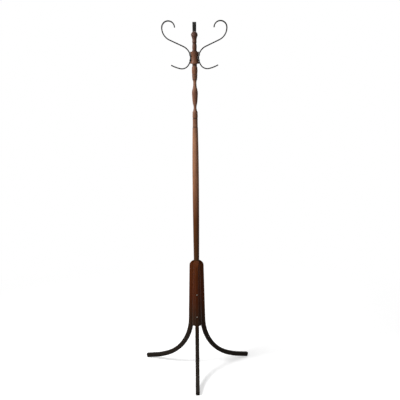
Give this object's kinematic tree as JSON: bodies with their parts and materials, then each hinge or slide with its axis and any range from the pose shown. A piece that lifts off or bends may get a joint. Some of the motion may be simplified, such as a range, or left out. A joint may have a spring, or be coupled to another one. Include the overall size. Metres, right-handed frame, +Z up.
{
  "type": "coat stand",
  "caption": "Free-standing coat stand with a turned wooden pole on splayed bent wooden legs, and curled iron strap hooks that hold coats below and hats above.",
  "frame": {"origin": "on the floor, on the axis of the pole", "axes": "+Z up along the pole, -Y towards the front leg, +X to the right seen from the front"},
  "size_m": [0.5818, 0.5054, 1.8615],
  "materials": {
    "pole_wood": "satin lacquered brown",
    "leg_wood": "satin lacquered dark brown",
    "hook_iron": "satin black paint",
    "screw_steel": "dulled steel",
    "hook_screw_steel": "blackened steel"
  },
  "bodies": {
    "root": {"base_block": "leg_wood", "lower_shaft": "pole_wood", "turned_spindle": "pole_wood", "hook_hub": "pole_wood", "finial": "pole_wood", "leg_front": "leg_wood", "leg_front_low_screw": "screw_steel", "leg_front_high_screw": "screw_steel", "leg_right": "leg_wood", "leg_right_low_screw": "screw_steel", "leg_right_high_screw": "screw_steel", "leg_left": "leg_wood", "leg_left_low_screw": "screw_steel", "leg_left_high_screw": "screw_steel", "hook_right": "hook_iron", "hook_right_low_screw": "hook_screw_steel", "hook_right_high_screw": "hook_screw_steel", "hook_back": "hook_iron", "hook_back_low_screw": "hook_screw_steel", "hook_back_high_screw": "hook_screw_steel", "hook_left": "hook_iron", "hook_left_low_screw": "hook_screw_steel", "hook_left_high_screw": "hook_screw_steel"}
  },
  "joints": []
}
